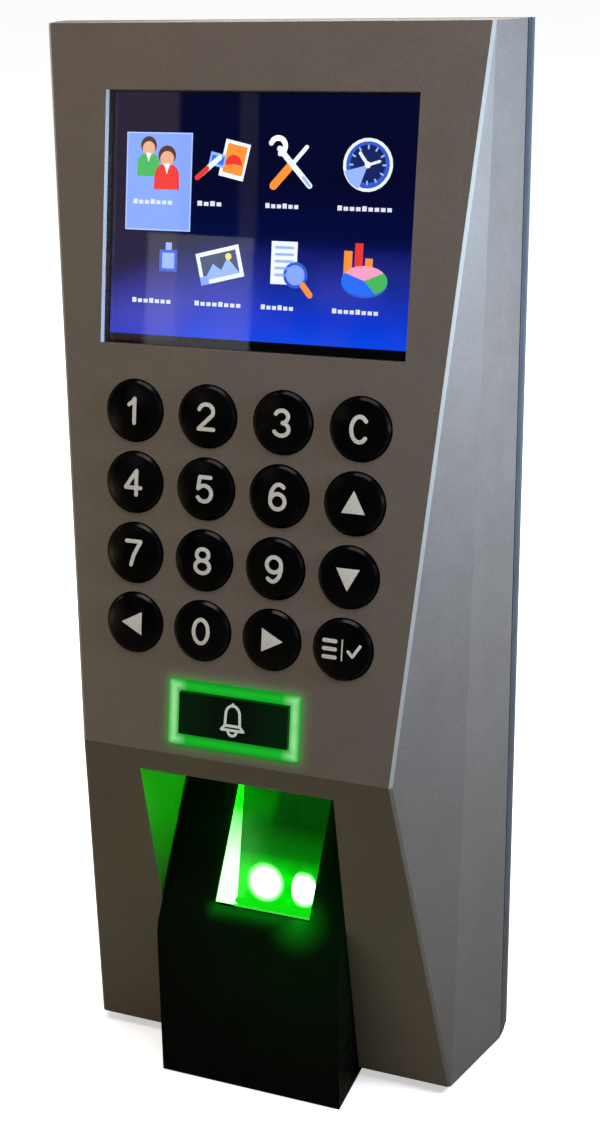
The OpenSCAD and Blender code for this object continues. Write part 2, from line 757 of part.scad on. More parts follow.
wall_plate();
rear_cover();
gasket();
front_casing();
screen_window();
lcd_frame();
lcd_panel();
lcd_backlight();
lcd_ribbon();
keypad_mat();
main_board();
board_chips();
capacitors();
door_relay();
backup_cell();
cell_holder();
wiring_headers();
usb_socket();
speaker();
tamper_switch();
tamper_plunger();
ring_lamps();
light_ring();
bell_button();
sensor_housing();
sensor_glass();
sensor_prism();
sensor_lamps();
sensor_lens();
sensor_board();
sensor_cover();
sensor_ribbon();
case_screws();
board_screws();
sensor_screws();
lock_screw();
for (k = KEYS) key_cap(k[0]);
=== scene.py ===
"""Looks of a wall-mounted fingerprint terminal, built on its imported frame."""
import json
import math

import bmesh
import bpy
from mathutils import Matrix, Vector


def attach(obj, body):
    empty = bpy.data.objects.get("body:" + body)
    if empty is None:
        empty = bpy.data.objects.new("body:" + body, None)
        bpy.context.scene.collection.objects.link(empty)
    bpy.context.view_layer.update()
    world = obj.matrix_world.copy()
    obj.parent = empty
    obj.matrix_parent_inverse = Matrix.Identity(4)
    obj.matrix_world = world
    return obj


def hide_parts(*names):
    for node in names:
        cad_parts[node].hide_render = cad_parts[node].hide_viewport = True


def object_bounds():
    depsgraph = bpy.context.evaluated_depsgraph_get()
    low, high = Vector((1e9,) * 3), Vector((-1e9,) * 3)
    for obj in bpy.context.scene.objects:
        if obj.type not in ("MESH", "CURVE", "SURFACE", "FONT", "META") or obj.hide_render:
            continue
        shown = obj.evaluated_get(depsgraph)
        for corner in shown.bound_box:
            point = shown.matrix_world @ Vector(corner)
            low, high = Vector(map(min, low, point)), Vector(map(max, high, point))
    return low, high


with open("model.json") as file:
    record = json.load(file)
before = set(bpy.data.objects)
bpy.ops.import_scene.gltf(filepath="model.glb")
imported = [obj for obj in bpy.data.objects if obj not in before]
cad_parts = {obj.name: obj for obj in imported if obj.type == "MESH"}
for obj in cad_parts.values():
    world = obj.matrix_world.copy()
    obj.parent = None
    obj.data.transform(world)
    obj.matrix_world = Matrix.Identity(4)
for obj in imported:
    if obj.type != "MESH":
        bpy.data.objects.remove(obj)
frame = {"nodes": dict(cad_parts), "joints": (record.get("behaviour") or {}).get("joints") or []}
CAD_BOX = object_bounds()
NODES = frame["nodes"]
MM = 0.001

KEYS = ["key_1", "key_2", "key_3", "key_clear", "key_4", "key_5", "key_6", "key_up",
        "key_7", "key_8", "key_9", "key_down", "key_left", "key_0", "key_right", "key_menu"]


# ---------- places, worked out from the frame ----------

class Face:
    """A flat face: a point is across * x + up * y + normal * n from its middle."""

    def __init__(self, node, normal):
        self.normal = Vector(normal).normalized()
        self.across = Vector((1, 0, 0))
        self.up = self.normal.cross(self.across).normalized()
        places = [(v.co.dot(self.across), v.co.dot(self.up), v.co.dot(self.normal))
                  for v in NODES[node].data.vertices]
        self.low = [min(p[k] for p in places) for k in range(3)]
        self.high = [max(p[k] for p in places) for k in range(3)]
        self.mid = [(a + b) / 2 for a, b in zip(self.low, self.high)]

    def point(self, x, y, n=0.0):
        """x and y from the middle of the node, n above its outermost level."""
        return (self.across * (self.mid[0] + x) + self.up * (self.mid[1] + y)
                + self.normal * (self.high[2] + n))

    @property
    def width(self):
        return self.high[0] - self.low[0]

    @property
    def height(self):
        return self.high[1] - self.low[1]


def joint_axis(name):
    return next(Vector(j["axis"]) for j in frame["joints"] if j["name"] == name)


def outward_normal(node, right=-1.0):
    """The normal of a node's largest side that looks out of the wall, and to the right by so much."""
    sides = {}
    for p in NODES[node].data.polygons:
        if p.normal.y < -0.35 and p.normal.x > right:
            key = tuple(round(c, 2) for c in p.normal)
            area, normal = sides.get(key, (0.0, p.normal))
            sides[key] = (area + p.area, normal)
    return max(sides.values(), key=lambda s: s[0])[1].copy()


FACE_NORMAL = -joint_axis("key_1_press")
SLOPE_NORMAL = outward_normal("sensor_glass")
SIDE_NORMAL = outward_normal("front_casing", 0.6)

PANEL = Face("lcd_panel", FACE_NORMAL)
SCREEN = Face("screen_window", FACE_NORMAL)
RING = Face("light_ring", FACE_NORMAL)
GLASS = Face("sensor_glass", SLOPE_NORMAL)

# the casing's opening over the screen, the lit area in it, and the width of the ring's band
OPENING_W = 52.8 * MM
OPENING_H = 40.4 * MM
ACTIVE_W = 52.2 * MM
ACTIVE_H = 38.6 * MM
ACTIVE_UP = 0.7 * MM
RING_BAND = 1.9 * MM

BLACK = (0.0, 0.0, 0.0)
WHITE = (1.0, 1.0, 1.0)


# ---------- node helpers for materials ----------

class Shader:
    """A short way to build a node material."""

    def __init__(self, name):
        self.material = bpy.data.materials.new(name)
        self.material.use_nodes = True
        self.tree = self.material.node_tree
        self.bsdf = self.tree.nodes["Principled BSDF"]
        self.output = self.tree.nodes["Material Output"]
        self.place = self.add("ShaderNodeTexCoord").outputs["Object"]

    def add(self, kind, **values):
        made = self.tree.nodes.new(kind)
        for key, value in values.items():
            setattr(made, key, value)
        return made

    def link(self, source, target):
        self.tree.links.new(source, target)

    def set(self, **values):
        for key, value in values.items():
            self.bsdf.inputs[key.replace("_", " ")].default_value = value

    def feed(self, socket, value):
        """Drives one of the surface's own inputs."""
        self.link(value, self.bsdf.inputs[socket])

    def noise(self, scale, detail=3.0, rough=0.55, stretch=None):
        made = self.add("ShaderNodeTexNoise")
        made.inputs["Scale"].default_value = scale
        made.inputs["Detail"].default_value = detail
        made.inputs["Roughness"].default_value = rough
        source = self.place
        if stretch:
            mapping = self.add("ShaderNodeMapping")
            mapping.inputs["Scale"].default_value = stretch
            self.link(source, mapping.inputs["Vector"])
            source = mapping.outputs["Vector"]
        self.link(source, made.inputs["Vector"])
        return made.outputs["Fac"]

    def flakes(self, scale):
        """A random grey for each of many small cells."""
        made = self.add("ShaderNodeTexVoronoi", feature="F1")
        made.inputs["Scale"].default_value = scale
        self.link(self.place, made.inputs["Vector"])
        grey = self.add("ShaderNodeRGBToBW")
        self.link(made.outputs["Color"], grey.inputs[0])
        return grey.outputs[0]

    def math(self, operation, a, b=None):
        made = self.add("ShaderNodeMath", operation=operation)
        for socket, value in zip(made.inputs, (a, b)):
            if value is None:
                continue
            if isinstance(value, (int, float)):
                socket.default_value = value
            else:
                self.link(value, socket)
        return made.outputs[0]

    def remap(self, value, low, high, to_low, to_high):
        made = self.add("ShaderNodeMapRange")
        self.link(value, made.inputs["Value"])
        names = ("From Min", "From Max", "To Min", "To Max")
        for name, limit in zip(names, (low, high, to_low, to_high)):
            made.inputs[name].default_value = limit
        return made.outputs["Result"]

    def mix(self, fac, a, b):
        """Mixes two colours: a at 0, b at 1."""
        made = self.add("ShaderNodeMix", data_type="RGBA", blend_type="MIX")
        for socket, value in zip((made.inputs[0], made.inputs[6], made.inputs[7]), (fac, a, b)):
            if isinstance(value, (int, float)):
                socket.default_value = value
            elif isinstance(value, tuple):
                socket.default_value = (*value, 1.0)[:4]
            else:
                self.link(value, socket)
        return made.outputs[2]

    def blend(self, fac, a, b):
        """Mixes two surfaces: a at 0, b at 1."""
        made = self.add("ShaderNodeMixShader")
        for socket, source in zip(made.inputs, (fac, a, b)):
            self.link(source, socket)
        return made.outputs[0]

    def ramp(self, value, stops):
        """Colours along a value, from (place, colour) stops."""
        made = self.add("ShaderNodeValToRGB")
        for place, _ in stops[2:]:
            made.color_ramp.elements.new(place)
        for element, (place, colour) in zip(made.color_ramp.elements, stops):
            element.position = place
            element.color = (*colour, 1)
        self.link(value, made.inputs[0])
        return made.outputs["Color"]

    def bump(self, height, strength, distance, normal=None):
        made = self.add("ShaderNodeBump")
        made.inputs["Strength"].default_value = strength
        made.inputs["Distance"].default_value = distance
        self.link(height, made.inputs["Height"])
        if normal is not None:
            self.link(normal, made.inputs["Normal"])
        self.feed("Normal", made.outputs["Normal"])
        return made.outputs["Normal"]

    def dot(self, source, direction):
        made = self.add("ShaderNodeVectorMath", operation="DOT_PRODUCT")
        self.link(source, made.inputs[0])
        made.inputs[1].default_value = direction
        return made.outputs["Value"]

    def axis(self, direction, origin):
        """Distance along a direction from an origin, in metres."""
        shifted = self.add("ShaderNodeVectorMath", operation="SUBTRACT")
        self.link(self.place, shifted.inputs[0])
        shifted.inputs[1].default_value = origin
        return self.dot(shifted.outputs[0], direction)

    def distance_to(self, point):
        made = self.add("ShaderNodeVectorMath", operation="DISTANCE")
        self.link(self.place, made.inputs[0])
        made.inputs[1].default_value = point
        return made.outputs["Value"]

    def outside(self, face, half_w, half_h, centre=(0, 0)):
        """Distance outside a rectangle on a face, along the face."""
        middle = face.point(*centre)
        squares = []
        for direction, half in ((face.across, half_w), (face.up, half_h)):
            away = self.math("ABSOLUTE", self.axis(direction, middle))
            away = self.math("MAXIMUM", self.math("SUBTRACT", away, half), 0.0)
            squares.append(self.math("MULTIPLY", away, away))
        return self.math("SQRT", self.math("ADD", *squares))

    def facing(self, direction):
        """How squarely the surface looks along a direction, -1 to 1."""
        return self.dot(self.add("ShaderNodeNewGeometry").outputs["True Normal"], direction)


# ---------- materials ----------

def casing_paint():
    """Metallic paint: fine flake, slight orange peel and faint handling marks, with painted light on it:
    painted highlights on the screen opening's left wall and the long chamfers, painted shade on the tilted
    side facet, and the lamps' green glow painted on as emission.
    """
    s = Shader("casing_paint")
    s.set(Metallic=0.2, Roughness=0.5, Coat_Weight=0.06, Coat_Roughness=0.25, Emission_Strength=1.0)
    grain = s.flakes(9000)
    base = s.mix(s.remap(grain, 0.2, 0.9, 0.0, 1.0), (0.155, 0.132, 0.120), (0.215, 0.188, 0.172))
    base = s.mix(s.remap(s.noise(60, 4), 0.35, 0.7, 0.0, 0.22), base, (0.12, 0.098, 0.088))

    # painted highlight: the left wall of the screen's opening is painted pale, as if lit from the right
    margin = 0.3 * MM
    off_window = s.outside(SCREEN, OPENING_W / 2 + margin, OPENING_H / 2 + margin)
    window = s.math("LESS_THAN", off_window, 0.0001 * MM)
    looks_right = s.math("GREATER_THAN", s.facing(SCREEN.across), 0.7)
    base = s.mix(s.math("MULTIPLY", window, looks_right), base, (0.66, 0.69, 0.74))

    # painted shade: the tilted side facet is painted a little darker
    tilted = s.math("GREATER_THAN", s.facing(SIDE_NORMAL), 0.9995)
    base = s.mix(s.math("MULTIPLY", tilted, 0.10), base, BLACK)
    # painted highlight: the paint is made pale along the long chamfers, as a thin bright edge line
    for side in (1, -1):
        chamfer = (FACE_NORMAL + Vector((side * SIDE_NORMAL.x, SIDE_NORMAL.y, SIDE_NORMAL.z))).normalized()
        rim = s.math("GREATER_THAN", s.facing(chamfer), 0.985)
        base = s.mix(s.math("MULTIPLY", rim, 0.8), base, (0.40, 0.40, 0.385))
    s.feed("Base Color", base)
    s.feed("Roughness", s.remap(s.noise(220, 5), 0.3, 0.75, 0.44, 0.58))
    peel = s.bump(s.noise(1400, 2), 0.10, 0.0002)
    s.bump(grain, 0.05, 0.00005, peel)

    # painted light: the ring's green glow close by and the reader's from further away, painted on the paint
    # as emission
    off_ring = s.outside(RING, RING.width / 2 - 1 * MM, RING.height / 2 - 1 * MM)
    halo = s.math("POWER", s.remap(off_ring, 0.9 * MM, 3.6 * MM, 1.0, 0.0), 2.6)
    wide = s.remap(s.distance_to(GLASS.point(0, 0)), 16 * MM, 46 * MM, 1.0, 0.0)
    tone = s.mix(wide, BLACK, (0.0003, 0.0042, 0.0))
    s.feed("Emission Color", s.mix(halo, tone, (0.0, 0.16, 0.012)))
    return s.material


def textured_plastic(name, colour, roughness=0.5, grain=2500, depth=0.25):
    """Moulded plastic with a fine spark-eroded grain."""
    s = Shader(name)
    s.set(Roughness=roughness, Specular_IOR_Level=0.4)
    lighter = tuple(min(1.0, c * 1.6 + 0.01) for c in colour)
    s.feed("Base Color", s.mix(s.remap(s.noise(120, 5), 0.3, 0.7, 0.0, 0.5), colour, lighter))
    s.feed("Roughness", s.remap(s.noise(400, 3), 0.3, 0.7, roughness - 0.06, roughness + 0.08))
    s.bump(s.noise(grain, 2), depth, 0.0001)
    return s.material


def gloss_plastic(name, colour, roughness=0.12):
    """Polished plastic with a thin hard coat and faint smears."""
    s = Shader(name)
    s.set(Roughness=roughness, Coat_Weight=0.02, Coat_Roughness=0.06, Specular_IOR_Level=0.1)
    smear = s.noise(260, 4, 0.6, (1.0, 1.0, 0.35))
    smudged = tuple(c + 0.0018 for c in colour)
    s.feed("Base Color", s.mix(s.remap(smear, 0.4, 0.75, 0.0, 1.0), colour, smudged))
    s.feed("Roughness", s.remap(smear, 0.35, 0.75, roughness, roughness + 0.16))
    s.bump(s.noise(700, 2), 0.03, 0.0001)
    return s.material


def brushed_metal(name, colour, roughness=0.3):
    """Bare metal with fine lines drawn along it."""
    s = Shader(name)
    s.set(Metallic=1.0, Roughness=roughness)
    lines = s.noise(400, 3, 0.6, (1.0, 1.0, 30.0))
    s.feed("Base Color", s.mix(lines, tuple(c * 0.8 for c in colour), colour))
    s.feed("Roughness", s.remap(lines, 0.3, 0.7, roughness - 0.08, roughness + 0.12))
    s.bump(lines, 0.08, 0.0001)
    return s.material


def powder_coat():
    """The back plate's dark grey coat, with a slight sheen."""
    material = textured_plastic("plate_coat", (0.10, 0.112, 0.128), 0.5, 3500, 0.2)
    material.node_tree.nodes["Principled BSDF"].inputs["Metallic"].default_value = 0.3
    return material


def circuit_board():
    """Green solder mask over faint copper tracks."""
    s = Shader("circuit_board")
    s.set(Roughness=0.3, Coat_Weight=0.3, Coat_Roughness=0.15)
    tracks = s.add("ShaderNodeTexBrick")
    tracks.inputs["Scale"].default_value = 240
    tracks.inputs["Mortar Size"].default_value = 0.03
    s.link(s.place, tracks.inputs["Vector"])
    copper = s.remap(tracks.outputs["Fac"], 0, 1, 0, 0.6)
    s.feed("Base Color", s.mix(copper, (0.012, 0.10, 0.035), (0.05, 0.22, 0.08)))
    s.bump(tracks.outputs["Fac"], 0.2, 0.00004)
    return s.material


def flex_ribbon():
    """Amber film with its copper lines showing through."""
    s = Shader("flex_ribbon")
    s.set(Roughness=0.35)
    wave = s.add("ShaderNodeTexWave", bands_direction="X")
    wave.inputs["Scale"].default_value = 500
    s.link(s.place, wave.inputs["Vector"])
    s.feed("Base Color", s.mix(wave.outputs["Fac"], (0.55, 0.28, 0.05), (0.75, 0.46, 0.14)))
    return s.material


# the share of light that glass mirrors when it is seen square on
STRAIGHT_MIRROR = 0.043


def thin_glass(name, tint, haze, shine=1.0):
    """A thin clear sheet: it lets light straight through and reflects at its surface."""
    s = Shader(name)
    s.tree.nodes.remove(s.bsdf)
    clear = s.add("ShaderNodeBsdfTransparent")
    clear.inputs["Color"].default_value = (*tint, 1)
    gloss = s.add("ShaderNodeBsdfGlossy")
    gloss.inputs["Color"].default_value = (*WHITE, 1)
    s.link(s.remap(s.noise(90, 5), 0.4, 0.8, haze, haze + 0.05), gloss.inputs["Roughness"])
    slant = s.math("POWER", s.add("ShaderNodeLayerWeight").outputs["Facing"], 5.0)
    mirror = s.math("ADD", s.math("MULTIPLY", slant, 1.0 - STRAIGHT_MIRROR), STRAIGHT_MIRROR)
    both = s.blend(s.math("MULTIPLY", mirror, shine), clear.outputs[0], gloss.outputs[0])
    s.link(both, s.output.inputs["Surface"])
    return s.material


def glow(name, colour, strength):
    """A plain lit colour with a slight printed-ink variation."""
    s = Shader(name)
    s.set(Roughness=0.4, Emission_Strength=strength)
    dim = tuple(c * 0.86 for c in colour)
    tone = s.mix(s.noise(3000, 2), dim, colour)
    s.feed("Base Color", tone)
    s.feed("Emission Color", tone)
    return s.material


def ink(name, colour):
    """Screen-printed ink, a little uneven."""
    s = Shader(name)
    s.set(Roughness=0.5)
    thin = tuple(c * 0.82 for c in colour)
    s.feed("Base Color", s.mix(s.remap(s.noise(2600, 3), 0.3, 0.7, 0, 1), colour, thin))
    s.bump(s.noise(6000, 2), 0.2, 0.00003)
    return s.material


def lcd_material():
    """Navy at the top to bright blue at the foot, black outside the active area."""
    s = Shader("lcd_glow")
    s.set(Roughness=0.5, Base_Color=(0.0, 0.0, 0.001, 1), Emission_Strength=1.0, Specular_IOR_Level=0.0)
    middle = SCREEN.point(0, ACTIVE_UP)
    x = s.axis(PANEL.across, middle)
    y = s.axis(PANEL.up, middle)
    down = s.math("SUBTRACT", s.remap(y, ACTIVE_H / 2, -ACTIVE_H / 2, 0.0, 1.0),
                  s.remap(x, -ACTIVE_W * 0.5, -ACTIVE_W * 0.15, 0.15, 0.0))
    ramp = s.ramp(down, [
        (0.0, (0.0003, 0.0020, 0.026)), (0.35, (0.0, 0.0012, 0.024)), (0.57, (0.0, 0.003, 0.055)),
        (0.7, (0.006, 0.014, 0.20)), (0.8, (0.010, 0.034, 0.44)), (0.9, (0.003, 0.045, 0.72)),
        (1.0, (0.002, 0.075, 0.92))])
    inside = s.math("MULTIPLY",
                    s.math("LESS_THAN", s.math("ABSOLUTE", x), ACTIVE_W / 2),
                    s.math("LESS_THAN", s.math("ABSOLUTE", y), ACTIVE_H / 2))
    patch = s.remap(s.noise(38, 2), 0.42, 0.60, 0.0, 1.0)
    violet = s.math("MULTIPLY", s.remap(down, 0.6, 0.82, 0.0, 0.6), patch)
    s.feed("Emission Color", s.mix(inside, BLACK, s.mix(violet, ramp, (0.075, 0.080, 0.62))))
    return s.material


def ring_material():
    """Green light guide: bright along the middle of its band, whiter over its lamps at the two ends."""
    s = Shader("ring_glow")
    s.set(Roughness=0.25, Base_Color=(0.0, 0.10, 0.01, 1), Specular_IOR_Level=0.2, Emission_Strength=0.95)
    x = s.math("ABSOLUTE", s.axis(RING.across, RING.point(0, 0)))
    y = s.math("ABSOLUTE", s.axis(RING.up, RING.point(0, 0)))
    out = s.math("MAXIMUM", s.math("SUBTRACT", x, RING.width / 2 - RING_BAND),
                 s.math("SUBTRACT", y, RING.height / 2 - RING_BAND))
    off_line = s.math("ABSOLUTE", s.math("SUBTRACT", out, RING_BAND * 0.48))
    core = s.remap(off_line, RING_BAND * 0.10, RING_BAND * 0.55, 1.0, 0.0)
    ends = s.remap(x, RING.width * 0.36, RING.width * 0.44, 0.0, 1.0)
    hot = s.math("MULTIPLY", core, s.math("ADD", s.math("MULTIPLY", ends, 0.72), 0.02))
    tone = s.mix(core, (0.0, 0.24, 0.006), (0.001, 0.42, 0.012))
    tone = s.mix(hot, tone, (0.42, 0.86, 0.42))
    tone = s.mix(s.remap(s.noise(420, 3), 0.35, 0.7, 0.0, 0.3), tone, (0.001, 0.36, 0.015))
    s.feed("Emission Color", tone)
    return s.material


# ---------- mesh helpers ----------

def new_piece(name, bm, materials, body, smooth=False):
    """Turns a finished mesh into a piece that rides on a body and fills a slot."""
    mesh = bpy.data.meshes.new(name)
    bmesh.ops.recalc_face_normals(bm, faces=bm.faces)
    bm.to_mesh(mesh)
    bm.free()
    for material in materials if isinstance(materials, (list, tuple)) else [materials]:
        mesh.materials.append(material)
    if smooth:
        mesh.polygons.foreach_set("use_smooth", [True] * len(mesh.polygons))
    piece = bpy.data.objects.new(name, mesh)
    bpy.context.scene.collection.objects.link(piece)
    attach(piece, body)
    return piece


def arc(cx, cy, rx, ry, start, end, steps=10):
    """Points on an ellipse's arc, with angles in degrees."""
    angles = [math.radians(start + (end - start) * k / steps) for k in range(steps + 1)]
    return [(cx + rx * math.cos(a), cy + ry * math.sin(a)) for a in angles]


def prism(bm, outline, place, depth, material=0):
    """A flat plate with the outline's shape. place(x, y, level) gives a point."""
    top = [bm.verts.new(place(x, y, depth)) for x, y in outline]
    low = [bm.verts.new(place(x, y, 0.0)) for x, y in outline]
    faces = [bm.faces.new(top), bm.faces.new(list(reversed(low)))]
    for i in range(len(outline)):
        j = (i + 1) % len(outline)
        faces.append(bm.faces.new((top[i], low[i], low[j], top[j])))
    for face in faces:
        face.material_index = material


def stroke(bm, points, width, place, depth, material=0, closed=False, longest=None):
    """A line of even width with round ends, as overlapping plates, none longer than longest."""
    half = width / 2
    pairs = list(zip(points, points[1:])) + ([(points[-1], points[0])] if closed else [])
    short = []
    for (x0, y0), (x1, y1) in pairs:
        count = max(1, math.ceil(math.hypot(x1 - x0, y1 - y0) / longest)) if longest else 1
        marks = [(x0 + (x1 - x0) * (k / count), y0 + (y1 - y0) * (k / count)) for k in range(count + 1)]
        short += zip(marks, marks[1:])
    for (x0, y0), (x1, y1) in short:
        angle = math.degrees(math.atan2(y1 - y0, x1 - x0))
        outline = (arc(x1, y1, half, half, angle - 90, angle + 90, 6)
                   + arc(x0, y0, half, half, angle + 90, angle + 270, 6))
        prism(bm, outline, place, depth, material)


# ---------- glyphs, in half widths and half heights of the character ----------

def character_lines(name):
    """The centrelines of a plain character, each as (points, closed)."""
    return {
        "0": [(arc(0, 0, 0.95, 1, 0, 342, 18), True)],
        "1": [([(-0.55, 0.5), (-0.1, 0.72), (0.18, 1), (0.18, -1)], False)],
        "2": [(arc(0, 0.42, 0.92, 0.58, 165, -28, 10) + [(-0.95, -1), (1, -1)], False)],
        "3": [(arc(0, 0.5, 0.82, 0.5, 155, -80, 9) + arc(0, -0.48, 0.95, 0.52, 80, -155, 9), False)],
        "4": [([(0.42, -1), (0.42, 1), (-1, -0.42), (1, -0.42)], False)],
        "5": [([(0.78, 1), (-0.62, 1), (-0.8, 0.05)] + arc(0, -0.33, 0.95, 0.66, 140, -150, 10), False)],
        "6": [(arc(0, -0.38, 0.92, 0.62, 0, 342, 16), True),
              (arc(0.12, -0.2, 1.04, 1.2, 55, 180, 8), False)],
        "7": [([(-0.95, 1), (0.95, 1), (0.1, -0.1), (-0.3, -1)], False)],
        "8": [(arc(0, 0.52, 0.78, 0.48, 0, 340, 14), True), (arc(0, -0.47, 0.93, 0.53, 0, 342, 16), True)],
        "9": [(arc(0, 0.38, 0.92, 0.62, 0, 342, 16), True),
              (arc(-0.12, 0.2, 1.04, 1.2, -125, 0, 8), False)],
        "C": [(arc(0, 0, 1.0, 1, 42, 318, 16), False)],
    }[name]


LEGENDS = {"key_clear": "C", **{f"key_{d}": str(d) for d in range(10)}}
ARROW_TURNS = {"key_up": 0, "key_left": 90, "key_down": 180, "key_right": 270}
ARROW_PARTS = 6

# a character's size and the width of its lines, and how the ink lies on a key's dome
GLYPH_W = 3.4 * MM
GLYPH_H = 4.7 * MM
GLYPH_LINE = 0.66 * MM
BELL_LINE = 0.46 * MM
INK_T = 0.03 * MM
PLATE_L = 0.4 * MM
DOME_RISE = 0.25 * MM
DOME_R = 4.85 * MM


def on_dome(face):
    """Places points on a key's domed top."""
    bend = (DOME_R ** 2 + DOME_RISE ** 2) / (2 * DOME_RISE)

    def place(x, y, level):
        return face.point(x, y, level - (x * x + y * y) / (2 * bend) - INK_T / 3)

    return place


def triangle(bm, turn, place):
    """An arrow's solid triangle, in small plates so that it follows the dome."""
    corners = []
    for angle, reach in ((90, 2.2), (217, 2.5), (323, 2.5)):
        a = math.radians(angle + turn)
        corners.append(Vector((reach * MM * math.cos(a), reach * MM * math.sin(a))))

    def at(i, j):
        first, second = corners[1] - corners[0], corners[2] - corners[0]
        spot = corners[0] + first * i / ARROW_PARTS + second * j / ARROW_PARTS
        return spot.x, spot.y

    for i in range(ARROW_PARTS):
        for j in range(ARROW_PARTS - i):
            prism(bm, [at(i, j), at(i + 1, j), at(i, j + 1)], place, INK_T)
            if i + j < ARROW_PARTS - 1:
                prism(bm, [at(i + 1, j), at(i + 1, j + 1), at(i, j + 1)], place, INK_T)


def key_legend(key, white):
    """The printed digit, letter or sign on a key's top."""
    dome = on_dome(Face(key, FACE_NORMAL))
    bm = bmesh.new()

    def line(points, width, closed=False):
        stroke(bm, points, width, dome, INK_T, closed=closed, longest=PLATE_L)

    if key in LEGENDS:
        half_w = (GLYPH_W - GLYPH_LINE) / 2
        half_h = (GLYPH_H - GLYPH_LINE) / 2
        for points, closed in character_lines(LEGENDS[key]):
            line([(x * half_w, y * half_h) for x, y in points], GLYPH_LINE, closed)
    elif key == "key_menu":
        for y in (-1.35, 0, 1.35):
            line([(-3.1 * MM, y * MM), (-1.1 * MM, y * MM)], 0.66 * MM)
        line([(0.05 * MM, -1.7 * MM), (0.05 * MM, 1.7 * MM)], 0.22 * MM)
        line([(1.1 * MM, -0.1 * MM), (1.85 * MM, -0.9 * MM), (3.05 * MM, 0.95 * MM)], 0.5 * MM)
    else:
        triangle(bm, ARROW_TURNS[key], dome)
    return new_piece(f"legend_{key[4:]}", bm, white, key)


def bell_icon(material):
    """An outlined bell with its clapper, on the middle of the bell button."""
    face = Face("bell_button", FACE_NORMAL)
    bm = bmesh.new()

    def place(x, y, level):
        return face.point(x, y, level - INK_T / 3)

    dome = [(-1.35, -1.0)] + arc(0, 1.0, 1.25, 1.5, 180, 0, 12) + [(1.35, -1.0)]
    rim = [(-1.35, -1.0), (-2.0, -1.75), (2.0, -1.75), (1.35, -1.0)]
    for points, closed in ((dome, False), (rim, True), (arc(0, -1.8, 0.8, 0.9, 180, 360, 8), False),
                           ([(0, 2.5), (0, 2.75)], False)):
        stroke(bm, [(x * MM, y * MM) for x, y in points], BELL_LINE, place, INK_T, closed=closed)
    return new_piece("bell_icon", bm, material, "bell_button")


# ---------- the menu on the screen ----------

ICON_R = 4.15 * MM
LAYER = 0.003 * MM
OVER_PANEL = 0.01 * MM
OVER_CELL = 0.035 * MM


class Drawing:
    """Flat lit shapes on the panel, around a point u across and v down the opening.

    Lengths are in shares of size, and each later shape lies a hair above the last.
    """

    def __init__(self, u, v, size=ICON_R):
        self.bm = bmesh.new()
        self.x = (u - 0.5) * OPENING_W
        self.y = (0.5 - v) * OPENING_H
        self.size = size
        self.level = OVER_PANEL
        self.used = []
        self.turn = 0.0

    def tilt(self, degrees):
        self.turn = math.radians(degrees)
        return self

    def place(self, x, y, level):
        c, s = math.cos(self.turn), math.sin(self.turn)
        x, y = x * c - y * s, x * s + y * c
        lift = PANEL.high[2] - SCREEN.high[2]
        return SCREEN.point(self.x + x * self.size, self.y + y * self.size, lift + self.level + level)

    def ink(self, colour):
        if colour not in self.used:
            self.used.append(colour)
        self.level += LAYER
        return self.used.index(colour)

    def shape(self, outline, colour):
        prism(self.bm, outline, self.place, LAYER, self.ink(colour))
        return self

    def disc(self, x, y, r, colour, start=0, end=348, ry=None):
        return self.shape(arc(x, y, r, ry or r, start, end, 24), colour)

    def wedge(self, x, y, r, colour, start, end, ry=None):
        return self.shape([(x, y)] + arc(x, y, r, ry or r, start, end, 14), colour)

    def bar(self, x0, y0, x1, y1, colour):
        return self.shape([(x0, y0), (x1, y0), (x1, y1), (x0, y1)], colour)

    def line(self, points, width, colour):
        stroke(self.bm, points, width, self.place, LAYER, self.ink(colour))
        return self

    def done(self, name, inks):
        return new_piece(name, self.bm, [inks[c] for c in self.used], "terminal")


def person(d, x, y, scale, shirt):
    """A head and shoulders with a white collar."""
    d.shape([(x - 0.52 * scale, y - 0.95 * scale)] +
            arc(x, y - 0.42 * scale, 0.5 * scale, 0.42 * scale, 180, 0, 10) +
            [(x + 0.52 * scale, y - 0.95 * scale)], shirt)
    d.disc(x, y + 0.28 * scale, 0.36 * scale, "hair")
    d.disc(x, y + 0.16 * scale, 0.28 * scale, "skin")
    d.shape([(x - 0.12 * scale, y - 0.02 * scale), (x + 0.12 * scale, y - 0.02 * scale),
             (x, y - 0.4 * scale)], "white")


def menu_cell(inks):
    d = Drawing(0.161, 0.350, MM)
    d.bar(-5.85, -7.75, 5.85, 7.75, "cell_edge").bar(-5.65, -7.55, 5.65, 7.55, "cell")
    d.done("menu_cell", inks)


def menu_people(inks):
    d = Drawing(0.155, 0.265)
    d.level = OVER_CELL
    person(d, -0.38, 0.28, 0.95, "green")
    person(d, 0.42, -0.12, 1.05, "red")
    d.done("menu_people", inks)


def menu_notes(inks):
    d = Drawing(0.377, 0.265).tilt(-12)
    d.bar(-0.1, -0.55, 0.95, 0.85, "white").bar(0.02, -0.38, 0.85, 0.72, "orange")
    d.wedge(0.42, 0.0, 0.34, "red", 0, 200).bar(-0.6, -0.25, 0.05, 0.25, "pale")
    d.bar(-0.52, -0.15, 0.0, 0.15, "blue").line([(-0.95, -0.85), (-0.2, 0.1)], 0.2, "white")
    d.line([(-0.95, -0.85), (-0.62, -0.42)], 0.2, "red").done("menu_notes", inks)


def menu_tools(inks):
    d = Drawing(0.600, 0.265)
    d.line([(0.55, 0.6), (-0.05, -0.08)], 0.16, "white").line([(-0.1, -0.12), (-0.75, -0.85)], 0.32, "orange")
    d.line([(-0.55, 0.52), (0.72, -0.82)], 0.22, "white").line([(0.45, -0.52), (0.72, -0.82)], 0.1, "pale")
    d.line(arc(-0.62, 0.62, 0.3, 0.3, 160, -70, 10), 0.2, "white").done("menu_tools", inks)


